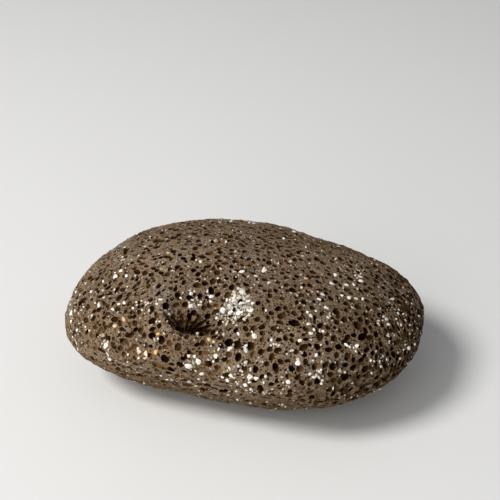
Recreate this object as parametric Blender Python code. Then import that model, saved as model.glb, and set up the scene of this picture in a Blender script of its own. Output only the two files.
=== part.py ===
"""Lava rock: one hand-sized cobble of bubbly basalt with a funnel-shaped hollow in its shoulder.

Run it with Blender: blender --background --python part.py

X runs along the stone, Z is up, lengths are in metres and angles in degrees. The middle of the
stone's bounding box is over the origin and its flat underside is on z = 0.

A direction is a unit vector from the middle of the stone. skin() turns directions into points of
the worn surface, so the body, its pits and their spacing all come from that one function.
"""

import math

import bmesh
import bpy
import numpy as np
from mathutils import Matrix, Vector

# Driving dimensions.
LENGTH = 0.120
WIDTH = 0.082
HEIGHT = 0.047

# The underside: how much of the half height is kept, and how softly the flat begins.
BASE_KEPT = 0.90
BASE_BLEND = 0.05

# Lumps (positive) and dents (negative): azimuth from +X, rise above level, spread, share of radius.
LUMPS = (
    (0, 5, 38, 0.06),
    (40, 5, 38, 0.09),
    (90, 5, 38, -0.05),
    (140, 5, 38, -0.03),
    (180, 5, 38, -0.06),
    (-140, -10, 36, 0.09),
    (-95, -15, 36, -0.17),
    (-50, -10, 36, 0.08),
    (20, 55, 34, -0.10),
    (26, 14, 15, 0.025),
    (50, 36, 18, -0.025),
    (-68, -20, 9, -0.035),
    (-142, -14, 10, 0.015),
)

# Slow waves that keep the worn surface from being perfectly even; they fade out at the base.
WAVE_COUNT = 14
WAVE_LENGTH = 0.016
WAVE_HEIGHT = 0.0003
WAVE_START = 0.0016
WAVE_SEED = 4

# The hollow in plan: an oval mouth, and a deepest point that lies close to its front edge.
HOLLOW_MIDDLE = (-0.0050, -0.0272)
HOLLOW_REACH = (0.0145, 0.0090)
HOLLOW_TURN = 14
HOLLOW_DEEPEST = (-0.0092, -0.0328)
HOLLOW_DEPTH = 0.0145
HOLLOW_CURVE = 1.35
HOLLOW_LOWEST = 0.6

# Icosphere levels for measuring the form and for the skin, and extra halvings round the hollow.
MEASURING_LEVEL = 6
SKIN_LEVEL = 4
HOLLOW_HALVINGS = 2
HOLLOW_MARGIN = 1.08

# Burst bubbles that stand out: azimuth, rise, diameter.
LARGE_PITS = (
    (-111, 54, 0.0022),
    (-101, 59, 0.0021),
    (-95, 62, 0.0024),
    (-111.5, 46, 0.0025),
    (-94, 54.5, 0.0021),
    (-103.5, 13.5, 0.0031),
    (-98, 11.5, 0.0025),
    (-101.5, 4, 0.0026),
    (-96.5, 4.5, 0.0021),
    (-78, 24, 0.0024),
    (-72.5, 16.5, 0.0024),
    (-66, 18, 0.0026),
    (-31, 26, 0.0030),
    (-42.5, 25.5, 0.0023),
    (-50, 28, 0.0022),
    (-44, 38, 0.0022),
    (-48, 15.5, 0.0023),
    (-61, 17, 0.0022),
    (-54, 7.5, 0.0022),
    (-71, -0.5, 0.0024),
    (-145.5, 38.5, 0.0024),
    (-70, 65, 0.0021),
    (110, -5, 0.0030),
    (62, 10, 0.0027),
    (150, 25, 0.0026),
    (170, -20, 0.0026),
    (30, -25, 0.0025),
    (85, 40, 0.0024),
)

# The other pits: how many, their diameters, and the stone left between two rims.
PIT_COUNT = 415
PIT_SMALLEST = 0.0017
PIT_TYPICAL = 0.0018
PIT_LARGEST = 0.0032
PIT_SIZE_SPREAD = 0.25
PIT_WALL = 0.0006
PIT_SEED = 11
PIT_TRIES = 9000
FRONT_SHARE = 0.45

# A pit is a cone of a few sides; its depth and the part of it outside are shares of its diameter.
PIT_SIDES = 5
PIT_DEPTH = 0.62
PIT_PROUD = 0.35

# No pit comes this near the middle of the underside, where the stone stands on a bare patch.
BARE_REACH = 0.009
BARE_HEIGHT = 0.001

# For measuring the slope of the skin: a step in radians, and where a direction counts as upright.
SLOPE_STEP = 0.004
NEARLY_UPRIGHT = 0.9

# Keeps a division from failing right over the deepest point of the hollow.
TINY = 1e-12

BASALT_COLOUR = (0.128, 0.091, 0.059, 1)
BASALT_ROUGHNESS = 0.93


def heading(azimuth, rise):
    """Unit vector for an azimuth from +X and a rise above level."""
    turn, lift = math.radians(azimuth), math.radians(rise)
    level = math.cos(lift)
    return np.array([math.cos(turn) * level, math.sin(turn) * level, math.sin(lift)])


def lumpy_ellipsoid(directions):
    """Points of the rough form, before its underside is flattened, around the origin."""
    swell = np.ones(len(directions))
    for azimuth, rise, spread, height in LUMPS:
        away = np.degrees(np.arccos(np.clip(directions @ heading(azimuth, rise), -1, 1)))
        swell += height * np.exp(-((away / spread) ** 2))
    return directions * swell[:, None] * (LENGTH / 2, WIDTH / 2, HEIGHT / 2)


def flatten_underside(points, half_height):
    """Points with everything under the base level brought up to it, with a soft start."""
    level, blend = -half_height * BASE_KEPT, half_height * BASE_BLEND
    z = points[:, 2]
    eased = level + (z - level + blend) ** 2 / (4 * blend)
    flattened = points.copy()
    flattened[:, 2] = np.where(z > level + blend, z, np.where(z < level - blend, level, eased))
    return flattened


def even_directions():
    """Directions spread evenly over the sphere, as the corners of a fine icosphere."""
    ball = bmesh.new()
    bmesh.ops.create_icosphere(ball, subdivisions=MEASURING_LEVEL, radius=1)
    directions = np.array([vert.co.normalized() for vert in ball.verts])
    ball.free()
    return directions


def measure_form():
    """Half height of the rough form, and the corners of its box once it is flattened."""
    rough = lumpy_ellipsoid(even_directions())
    half_height = -rough[:, 2].min()
    flattened = flatten_underside(rough, half_height)
    return half_height, flattened.min(axis=0), flattened.max(axis=0)


FORM_HALF_HEIGHT, FORM_LOW, FORM_HIGH = measure_form()


def cobble(directions):
    """Points of the cobble in its final size and place, with neither waves nor hollow."""
    points = flatten_underside(lumpy_ellipsoid(directions), FORM_HALF_HEIGHT)
    points = (points - (FORM_LOW + FORM_HIGH) / 2) / (FORM_HIGH - FORM_LOW)
    return points * (LENGTH, WIDTH, HEIGHT) + (0, 0, HEIGHT / 2)


def waves(points):
    """Height of the slow waves at each point."""
    rng = np.random.default_rng(WAVE_SEED)
    runs = rng.normal(size=(WAVE_COUNT, 3))
    runs /= np.linalg.norm(runs, axis=1)[:, None]
    starts = rng.uniform(0, 2 * math.pi, WAVE_COUNT)
    phases = points @ runs.T * (2 * math.pi / WAVE_LENGTH) + starts
    return WAVE_HEIGHT * np.sin(phases).sum(axis=1) / math.sqrt(WAVE_COUNT)


def hollow_fraction(points):
    """0 over the deepest point of the hollow and 1 on its rim, measured in plan."""
    turn = math.radians(HOLLOW_TURN)
    along = np.array([math.cos(turn), math.sin(turn)]) / HOLLOW_REACH[0]
    across = np.array([-math.sin(turn), math.cos(turn)]) / HOLLOW_REACH[1]
    to_oval = np.stack([along, across], axis=1)
    start = (np.array(HOLLOW_DEEPEST) - HOLLOW_MIDDLE) @ to_oval
    step = (points[:, :2] - HOLLOW_DEEPEST) @ to_oval
    squared = (step ** 2).sum(axis=1) + TINY
    half = step @ start
    reach = (np.sqrt(half ** 2 + squared * (1 - start @ start)) - half) / squared
    return 1 / reach


def skin(directions):
    """Points of the worn surface, with its waves and its hollow, in those directions."""
    points = cobble(directions)
    above_base = np.clip(points[:, 2] / WAVE_START, 0, 1)
    points = points + directions * (waves(points) * above_base)[:, None]
    depth = HOLLOW_DEPTH * np.clip(1 - hollow_fraction(points), 0, 1) ** HOLLOW_CURVE
    points[:, 2] -= np.where(points[:, 2] > HEIGHT * HOLLOW_LOWEST, depth, 0)
    return points


def skin_frame(directions):
    """Points of the skin, outward normals, and how much skin each bit of sphere covers."""
    helper = np.where(np.abs(directions[:, 2:]) < NEARLY_UPRIGHT, [[0, 0, 1.0]], [[1.0, 0, 0]])
    side = np.cross(helper, directions)
    side /= np.linalg.norm(side, axis=1)[:, None]
    other = np.cross(directions, side)
    edges = []
    for way in (side, other):
        ahead, behind = directions + way * SLOPE_STEP, directions - way * SLOPE_STEP
        ahead /= np.linalg.norm(ahead, axis=1)[:, None]
        behind /= np.linalg.norm(behind, axis=1)[:, None]
        edges.append((skin(ahead) - skin(behind)) / (2 * SLOPE_STEP))
    normals = np.cross(edges[0], edges[1])
    areas = np.linalg.norm(normals, axis=1)
    return skin(directions), normals / areas[:, None], areas


def large_pits():
    """Middle, outward normal and radius of each pit that stands out."""
    points, normals, _ = skin_frame(np.array([heading(*row[:2]) for row in LARGE_PITS]))
    return list(zip(points, normals, [row[2] / 2 for row in LARGE_PITS]))


def seeded_pits():
    """Middle, outward normal and radius of the other pits, clear of the large ones."""
    rng = np.random.default_rng(PIT_SEED)
    tried = rng.normal(size=(PIT_TRIES, 3))
    tried /= np.linalg.norm(tried, axis=1)[:, None]
    points, normals, areas = skin_frame(tried)
    sizes = PIT_TYPICAL * np.exp(np.abs(rng.normal(0, PIT_SIZE_SPREAD, PIT_TRIES)))
    radii = np.clip(sizes, PIT_SMALLEST, PIT_LARGEST) / 2
    facing_front = (1 - normals[:, 1]) / 2
    share = FRONT_SHARE + (1 - FRONT_SHARE) * facing_front
    wanted = areas / areas.max() * share > rng.uniform(size=PIT_TRIES)
    wanted &= (np.linalg.norm(points[:, :2], axis=1) > BARE_REACH) | (points[:, 2] > BARE_HEIGHT)
    taken = large_pits()
    placed = []
    for point, normal, radius in zip(points[wanted], normals[wanted], radii[wanted]):
        gaps = [np.linalg.norm(point - other) - radius - reach for other, _, reach in taken]
        if min(gaps) > PIT_WALL and len(placed) < PIT_COUNT:
            placed.append((point, normal, radius))
            taken.append(placed[-1])
    return placed


def mesh_object(name, shape, collection):
    """New object from a bmesh, which is freed."""
    mesh = bpy.data.meshes.new(name)
    shape.to_mesh(mesh)
    shape.free()
    obj = bpy.data.objects.new(name, mesh)
    collection.objects.link(obj)
    return obj


def make_body(collection):
    """The stone before its pits: an icosphere, finer round the hollow, drawn onto the skin."""
    shape = bmesh.new()
    bmesh.ops.create_icosphere(shape, subdivisions=SKIN_LEVEL, radius=1)
    for _ in range(HOLLOW_HALVINGS):
        points = cobble(np.array([vert.co.normalized() for vert in shape.verts]))
        inside = hollow_fraction(points) < HOLLOW_MARGIN
        inside &= points[:, 2] > HEIGHT * HOLLOW_LOWEST
        shape.verts.index_update()
        edges = [edge for edge in shape.edges if any(inside[vert.index] for vert in edge.verts)]
        bmesh.ops.subdivide_edges(shape, edges=edges, cuts=1, use_grid_fill=True)
        bmesh.ops.triangulate(shape, faces=shape.faces[:])
    points = skin(np.array([vert.co.normalized() for vert in shape.verts]))
    for vert, point in zip(shape.verts, points):
        vert.co = point
    return mesh_object("lava_rock", shape, collection)


def stand_on_skin(point, normal, turn):
    """Placing matrix with its Z along the normal, turned about it."""
    upright = Vector(normal).to_track_quat("Z", "Y").to_matrix().to_4x4()
    return Matrix.Translation(point) @ upright @ Matrix.Rotation(turn, 4, "Z")


def make_pit_cutter(collection):
    """One cutter for all pits: a small ball for each large pit, a cone for each of the others."""
    shape = bmesh.new()
    rng = np.random.default_rng(PIT_SEED)
    for point, normal, radius in large_pits():
        place = stand_on_skin(point, normal, rng.uniform(0, 2 * math.pi))
        bmesh.ops.create_icosphere(shape, subdivisions=1, radius=radius, matrix=place)
    for point, normal, radius in seeded_pits():
        place = stand_on_skin(point, normal, rng.uniform(0, 2 * math.pi))
        deep, proud = 2 * radius * PIT_DEPTH, 2 * radius * PIT_PROUD
        bmesh.ops.create_cone(
            shape,
            cap_ends=True,
            segments=PIT_SIDES,
            radius1=0,
            radius2=radius * (deep + proud) / deep,
            depth=deep + proud,
            matrix=place @ Matrix.Translation((0, 0, (proud - deep) / 2)),
        )
    cutter = mesh_object("pit_cutter", shape, collection)
    cutter.hide_render = True
    cutter.display_type = "WIRE"
    return cutter


def cut_pits(body, cutter):
    """Take the pits out of the stone."""
    cut = body.modifiers.new("pits", "BOOLEAN")
    cut.operation = "DIFFERENCE"
    cut.solver = "EXACT"
    cut.object = cutter


def basalt():
    """Matt grey-brown stone."""
    material = bpy.data.materials.new("basalt")
    material.use_nodes = True
    shader = material.node_tree.nodes["Principled BSDF"]
    shader.inputs["Base Color"].default_value = BASALT_COLOUR
    shader.inputs["Roughness"].default_value = BASALT_ROUGHNESS
    shader.inputs["Metallic"].default_value = 0
    return material


def main():
    for obj in list(bpy.data.objects):
        bpy.data.objects.remove(obj)
    parts = bpy.data.collections.new("lava_rock")
    cutters = bpy.data.collections.new("lava_rock_cutters")
    for collection in (parts, cutters):
        bpy.context.scene.collection.children.link(collection)
    stone = make_body(parts)
    stone.data.materials.append(basalt())
    cut_pits(stone, make_pit_cutter(cutters))


main()
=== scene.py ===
"""Lava rock: the looks of one hand-sized cobble of bubbly basalt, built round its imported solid.

X runs along the stone, Z is up, lengths are in metres and angles in degrees. The form functions
and their values are the ones that the solid is made from, so the visual stone lies in its skin.
Values in pixels are places in the 500 x 500 frame of the camera below.
"""

import itertools
import math

import bmesh
import bpy
import numpy as np
from mathutils import Matrix, Vector
from mathutils.bvhtree import BVHTree
from mathutils.kdtree import KDTree


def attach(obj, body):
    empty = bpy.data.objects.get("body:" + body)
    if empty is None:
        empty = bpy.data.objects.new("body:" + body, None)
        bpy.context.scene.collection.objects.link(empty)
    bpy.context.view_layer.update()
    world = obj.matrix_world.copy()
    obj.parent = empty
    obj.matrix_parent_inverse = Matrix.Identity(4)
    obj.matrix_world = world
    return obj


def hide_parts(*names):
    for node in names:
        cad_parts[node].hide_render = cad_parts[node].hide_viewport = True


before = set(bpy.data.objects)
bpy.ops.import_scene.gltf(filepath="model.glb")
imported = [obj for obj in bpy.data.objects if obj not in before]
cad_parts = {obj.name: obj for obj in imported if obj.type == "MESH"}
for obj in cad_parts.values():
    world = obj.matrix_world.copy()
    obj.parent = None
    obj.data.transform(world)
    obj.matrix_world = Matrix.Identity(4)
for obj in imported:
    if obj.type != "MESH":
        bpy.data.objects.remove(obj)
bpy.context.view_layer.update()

# ---- the form, as in the solid

LENGTH = 0.120
WIDTH = 0.082
HEIGHT = 0.047

BASE_KEPT = 0.90
BASE_BLEND = 0.05

# Lumps (positive) and dents (negative): azimuth from +X, rise above level, spread, share of radius.
LUMPS = (
    (0, 5, 38, 0.06), (40, 5, 38, 0.09), (90, 5, 38, -0.05), (140, 5, 38, -0.03), (180, 5, 38, -0.06),
    (-140, -10, 36, 0.09), (-95, -15, 36, -0.17), (-50, -10, 36, 0.08), (20, 55, 34, -0.10),
    (26, 14, 15, 0.025), (50, 36, 18, -0.025), (-68, -20, 9, -0.035), (-142, -14, 10, 0.015),
)

WAVE_COUNT = 14
WAVE_LENGTH = 0.016
WAVE_HEIGHT = 0.0003
WAVE_START = 0.0016
WAVE_SEED = 4

HOLLOW_MIDDLE = (-0.0050, -0.0272)
HOLLOW_REACH = (0.0145, 0.0090)
HOLLOW_TURN = 14
HOLLOW_DEEPEST = (-0.0092, -0.0328)
HOLLOW_DEPTH = 0.0145
HOLLOW_CURVE = 1.35
HOLLOW_LOWEST = 0.6

MEASURING_LEVEL = 6
SKIN_LEVEL = 5
HOLLOW_MARGIN = 1.08

# Burst bubbles that the solid has too: azimuth, rise, diameter.
LARGE_PITS = (
    (-111, 54, 0.0022), (-101, 59, 0.0021), (-95, 62, 0.0024), (-111.5, 46, 0.0025),
    (-94, 54.5, 0.0021), (-103.5, 13.5, 0.0031), (-98, 11.5, 0.0025), (-101.5, 4, 0.0026),
    (-96.5, 4.5, 0.0021), (-78, 24, 0.0024), (-72.5, 16.5, 0.0024), (-66, 18, 0.0026),
    (-31, 26, 0.0030), (-42.5, 25.5, 0.0023), (-50, 28, 0.0022), (-44, 38, 0.0022), (-48, 15.5, 0.0023),
    (-61, 17, 0.0022), (-54, 7.5, 0.0022), (-71, -0.5, 0.0024), (-145.5, 38.5, 0.0024),
    (-70, 65, 0.0021), (110, -5, 0.0030), (62, 10, 0.0027), (150, 25, 0.0026), (170, -20, 0.0026),
    (30, -25, 0.0025), (85, 40, 0.0024),
)
PIT_COUNT = 415
PIT_SMALLEST = 0.0017
PIT_TYPICAL = 0.0018
PIT_LARGEST = 0.0032
PIT_SIZE_SPREAD = 0.25
PIT_WALL = 0.0006
PIT_SEED = 11
PIT_TRIES = 9000
FRONT_SHARE = 0.45
BARE_REACH = 0.009
BARE_HEIGHT = 0.001

SLOPE_STEP = 0.004
NEARLY_UPRIGHT = 0.9
TINY = 1e-12


def heading(azimuth, rise):
    """Unit vector for an azimuth from +X and a rise above level."""
    turn, lift = math.radians(azimuth), math.radians(rise)
    level = math.cos(lift)
    return np.array([math.cos(turn) * level, math.sin(turn) * level, math.sin(lift)])


def unit(vectors):
    """The vectors at a length of one."""
    return vectors / np.linalg.norm(vectors, axis=1)[:, None]


def lumpy_ellipsoid(directions):
    """Points of the rough form, before its underside is flattened, around the origin."""
    swell = np.ones(len(directions))
    for azimuth, rise, spread, height in LUMPS:
        away = np.degrees(np.arccos(np.clip(directions @ heading(azimuth, rise), -1, 1)))
        swell += height * np.exp(-((away / spread) ** 2))
    return directions * swell[:, None] * (LENGTH / 2, WIDTH / 2, HEIGHT / 2)


def flatten_underside(points, half_height):
    """Points with everything under the base level brought up to it, with a soft start."""
    level, blend = -half_height * BASE_KEPT, half_height * BASE_BLEND
    z = points[:, 2]
    eased = level + (z - level + blend) ** 2 / (4 * blend)
    flattened = points.copy()
    flattened[:, 2] = np.where(z > level + blend, z, np.where(z < level - blend, level, eased))
    return flattened


def directions_of(shape):
    """The direction of each corner of a shape round the origin."""
    return np.array([vert.co.normalized() for vert in shape.verts])


def measure_form():
    """Half height of the rough form, and the corners of its box once it is flattened."""
    ball = bmesh.new()
    bmesh.ops.create_icosphere(ball, subdivisions=MEASURING_LEVEL, radius=1)
    rough = lumpy_ellipsoid(directions_of(ball))
    ball.free()
    half_height = -rough[:, 2].min()
    flattened = flatten_underside(rough, half_height)
    return half_height, flattened.min(axis=0), flattened.max(axis=0)


FORM_HALF_HEIGHT, FORM_LOW, FORM_HIGH = measure_form()


def cobble(directions):
    """Points of the cobble in its final size and place, with neither waves nor hollow."""
    points = flatten_underside(lumpy_ellipsoid(directions), FORM_HALF_HEIGHT)
    points = (points - (FORM_LOW + FORM_HIGH) / 2) / (FORM_HIGH - FORM_LOW)
    return points * (LENGTH, WIDTH, HEIGHT) + (0, 0, HEIGHT / 2)


def waves(points):
    """Height of the slow waves at each point."""
    rng = np.random.default_rng(WAVE_SEED)
    runs = unit(rng.normal(size=(WAVE_COUNT, 3)))
    starts = rng.uniform(0, math.tau, WAVE_COUNT)
    phases = points @ runs.T * (math.tau / WAVE_LENGTH) + starts
    return WAVE_HEIGHT * np.sin(phases).sum(axis=1) / math.sqrt(WAVE_COUNT)


def hollow_fraction(points):
    """0 over the deepest point of the hollow and 1 on its rim, measured in plan."""
    turn = math.radians(HOLLOW_TURN)
    along = np.array([math.cos(turn), math.sin(turn)]) / HOLLOW_REACH[0]
    across = np.array([-math.sin(turn), math.cos(turn)]) / HOLLOW_REACH[1]
    to_oval = np.stack([along, across], axis=1)
    start = (np.array(HOLLOW_DEEPEST) - HOLLOW_MIDDLE) @ to_oval
    step = (points[:, :2] - HOLLOW_DEEPEST) @ to_oval
    squared = (step ** 2).sum(axis=1) + TINY
    half = step @ start
    reach = (np.sqrt(half ** 2 + squared * (1 - start @ start)) - half) / squared
    return 1 / reach


def skin(directions):
    """Points of the worn surface, with its waves and its hollow, in those directions."""
    points = cobble(directions)
    above_base = np.clip(points[:, 2] / WAVE_START, 0, 1)
    points = points + directions * (waves(points) * above_base)[:, None]
    depth = HOLLOW_DEPTH * np.clip(1 - hollow_fraction(points), 0, 1) ** HOLLOW_CURVE
    points[:, 2] -= np.where(points[:, 2] > HEIGHT * HOLLOW_LOWEST, depth, 0)
    return points


def crosswise(directions):
    """Unit vectors at right angles to the directions."""
    helper = np.where(np.abs(directions[:, 2:]) < NEARLY_UPRIGHT, [[0, 0, 1.0]], [[1.0, 0, 0]])
    return unit(np.cross(helper, directions))


def skin_frame(directions):
    """Points of the skin, outward normals, and how much skin each bit of sphere covers."""
    side = crosswise(directions)
    edges = []
    for way in (side, np.cross(directions, side)):
        ahead, behind = unit(directions + way * SLOPE_STEP), unit(directions - way * SLOPE_STEP)
        edges.append((skin(ahead) - skin(behind)) / (2 * SLOPE_STEP))
    normals = np.cross(edges[0], edges[1])
    areas = np.linalg.norm(normals, axis=1)
    return skin(directions), normals / areas[:, None], areas


def large_pits():
    """Middle, outward normal and radius of each pit that stands out."""
    points, normals, _ = skin_frame(np.array([heading(*row[:2]) for row in LARGE_PITS]))
    return list(zip(points, normals, [row[2] / 2 for row in LARGE_PITS]))


def seeded_pits():
    """Middle, outward normal and radius of the solid's other pits, clear of the large ones."""
    rng = np.random.default_rng(PIT_SEED)
    points, normals, areas = skin_frame(unit(rng.normal(size=(PIT_TRIES, 3))))
    sizes = PIT_TYPICAL * np.exp(np.abs(rng.normal(0, PIT_SIZE_SPREAD, PIT_TRIES)))
    radii = np.clip(sizes, PIT_SMALLEST, PIT_LARGEST) / 2
    facing_front = (1 - normals[:, 1]) / 2
    share = FRONT_SHARE + (1 - FRONT_SHARE) * facing_front
    wanted = areas / areas.max() * share > rng.uniform(size=PIT_TRIES)
    wanted &= (np.linalg.norm(points[:, :2], axis=1) > BARE_REACH) | (points[:, 2] > BARE_HEIGHT)
    taken = large_pits()
    placed = []
    for point, normal, radius in zip(points[wanted], normals[wanted], radii[wanted]):
        gaps = [np.linalg.norm(point - other) - radius - reach for other, _, reach in taken]
        if min(gaps) > PIT_WALL and len(placed) < PIT_COUNT:
            placed.append((point, normal, radius))
            taken.append(placed[-1])
    return placed


# ---- camera

LENS_MM = 72
SENSOR_MM = 36
FRAME_PX = 500
FOCAL_PX = FRAME_PX * LENS_MM / SENSOR_MM
CAMERA_YAW = -13.5
CAMERA_PITCH = 32
CAMERA_DISTANCE = 0.341
STONE_MIDDLE_PX = (246, 306)


def camera_axes():
    """Right, up and forward unit vectors of the camera."""
    yaw, pitch = math.radians(CAMERA_YAW), math.radians(CAMERA_PITCH)
    level = math.cos(pitch)
    forward = Vector((math.sin(yaw) * level, math.cos(yaw) * level, -math.sin(pitch)))
    right = Vector((math.cos(yaw), -math.sin(yaw), 0))
    return right, right.cross(forward), forward


def sight(pixel):
    """From the camera to the place that a pixel shows one metre in front of it."""
    right, up, forward = camera_axes()
    across = (pixel[0] - FRAME_PX / 2) / FOCAL_PX
    down = (pixel[1] - FRAME_PX / 2) / FOCAL_PX
    return forward + right * across - up * down


def new_object(name, data):
    """A new object in the scene."""
    obj = bpy.data.objects.new(name, data)
    bpy.context.scene.collection.objects.link(obj)
    return obj


def make_camera():
    """The camera, set back so that the stone's middle falls on its place in the frame."""
    right, up, forward = camera_axes()
    data = bpy.data.cameras.new("camera")
    data.lens = LENS_MM
    data.sensor_width = SENSOR_MM
    place = Matrix((right, up, -forward)).transposed().to_4x4()
    place.translation = Vector((0, 0, HEIGHT / 2)) - CAMERA_DISTANCE * sight(STONE_MIDDLE_PX)
    camera = new_object("camera", data)
    camera.matrix_world = place
    bpy.context.scene.camera = camera
    return place.translation


# ---- mesh helpers


def mesh_from_arrays(name, verts, faces):
    """New mesh object from arrays of points and of equally long faces."""
    mesh = bpy.data.meshes.new(name)
    mesh.from_pydata(verts.tolist(), [], faces.tolist())
    return new_object(name, mesh)


def ball_template(level):
    """Points and faces of a unit icosphere."""
    ball = bmesh.new()
    bmesh.ops.create_icosphere(ball, subdivisions=level, radius=1)
    verts = np.array([vert.co[:] for vert in ball.verts])
    faces = np.array([[vert.index for vert in face.verts] for face in ball.faces])
    ball.free()
    return verts, faces


def vertex_array(mesh):
    """The mesh's points as an array."""
    return np.array([vert.co[:] for vert in mesh.vertices])


def search_tree(mesh):
    """A tree that finds places on the mesh."""
    faces = [polygon.vertices[:] for polygon in mesh.polygons]
    return BVHTree.FromPolygons(vertex_array(mesh).tolist(), faces)


def add_values(mesh, name, values):
    """Stores one number for each point of the mesh, for materials to read."""
    layer = mesh.attributes.new(name, "FLOAT", "POINT")
    layer.data.foreach_set("value", values)


# ---- the skin


def make_skin():
    """The stone with no bubbles: an icosphere, finer round the hollow, drawn onto the skin."""
    shape = bmesh.new()
    bmesh.ops.create_icosphere(shape, subdivisions=SKIN_LEVEL, radius=1)
    points = cobble(directions_of(shape))
    inside = (hollow_fraction(points) < HOLLOW_MARGIN) & (points[:, 2] > HEIGHT * HOLLOW_LOWEST)
    shape.verts.index_update()
    edges = [edge for edge in shape.edges if any(inside[vert.index] for vert in edge.verts)]
    bmesh.ops.subdivide_edges(shape, edges=edges, cuts=1, use_grid_fill=True)
    bmesh.ops.triangulate(shape, faces=shape.faces[:])
    for vert, point in zip(shape.verts, skin(directions_of(shape))):
        vert.co = point
    mesh = bpy.data.meshes.new("stone")
    shape.to_mesh(mesh)
    shape.free()
    return new_object("stone", mesh)


class Skin:
    """Finds points and normals on the stone before its bubbles are cut."""

    def __init__(self, mesh, eye):
        self.eye = eye
        self.verts = vertex_array(mesh)
        self.faces = np.array([polygon.vertices[:] for polygon in mesh.polygons])
        self.tree = search_tree(mesh)
        corners = self.verts[self.faces]
        cross = np.cross(corners[:, 1] - corners[:, 0], corners[:, 2] - corners[:, 0])
        self.areas = np.linalg.norm(cross, axis=1) / 2
        self.normals = cross / (2 * self.areas[:, None])
        self.middles = corners.mean(axis=1)

    def at_pixel(self, pixel):
        """Point, normal and metres per pixel where the camera sees a pixel, or None."""
        point, normal, _, distance = self.tree.ray_cast(self.eye, sight(pixel).normalized())
        if point is None:
            return None
        return np.array(point), np.array(normal), distance / FOCAL_PX

    def scatter(self, rng, count, share):
        """Random points and normals; share is how crowded each face is, from 0 to 1."""
        weights = self.areas * share
        picked = rng.choice(len(self.faces), size=count, p=weights / weights.sum())
        shares = rng.uniform(size=(2, count, 1))
        shares = np.where(shares.sum(axis=0) > 1, 1 - shares, shares)
        first, second, third = self.verts[self.faces[picked]].swapaxes(0, 1)
        points = first + shares[0] * (second - first) + shares[1] * (third - first)
        return points, self.normals[picked]


# ---- bubbles

BUBBLE_SEED = 23
MEDIUM_COUNT = 2200
MEDIUM_TYPICAL = 0.00172
MEDIUM_SPREAD = 0.22
MEDIUM_SMALLEST = 0.0011
MEDIUM_LARGEST = 0.0025
FRONT_GROWTH = 0.20
TOP_SHRINK = 0.06
LEFT_SHRINK = 0.14
SMALL_COUNT = 3000
SMALL_SIZES = (0.0005, 0.0011)
# The least distance between two bubbles, in sums of their radii.
WALL_KEPT = 0.90
TRIES_EACH = 14
BACK_SHARE = 0.75
UNDER_SHARE = 0.4

# Sides of a bubble's cutter by the width of its mouth; the narrow ones are plain cones.
BOWL_FROM = 0.0014
BOWL_SIDES = ((0.0024, 9), (BOWL_FROM, 7), (0.0009, 6), (0, 5))
# In radii of the mouth: the cutter's rise over the skin, and the depths of cones and of bowls.
LIFT = 0.16
CONE_DEPTHS = (1.3, 2.2)
DEPTH_RANGE = (0.70, 1.30)
# Depths in radii at which a given bubble's walls get the darkest and the least painted shade; the
# solid's large pits get the darkest.
DARKEST_SHADE_DEPTH = 1.25
LEAST_SHADE_DEPTH = 0.80
TOP_DEEPENING = 0.4
# A bowl's low ring: its width as a share of the mouth's, and its place as a share of the depth.
BOWL_FLOOR = (0.62, 0.95)
BOWL_SHOULDER = 0.62
RING_FACTOR = 1.08
RING_JITTER = 0.14
STRETCH_SPREAD = 0.28
# Radians, a little over a whole turn.
LARGEST_SPIN = 7
# The ball that holds a cutter, in radii of the mouth: how deep its middle lies, and its radius.
REACH_MIDDLE = 0.65
REACH = 1.85
CELL = 0.0040
NEIGHBOURS = tuple(itertools.product((-1, 0, 1), repeat=3))
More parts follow.
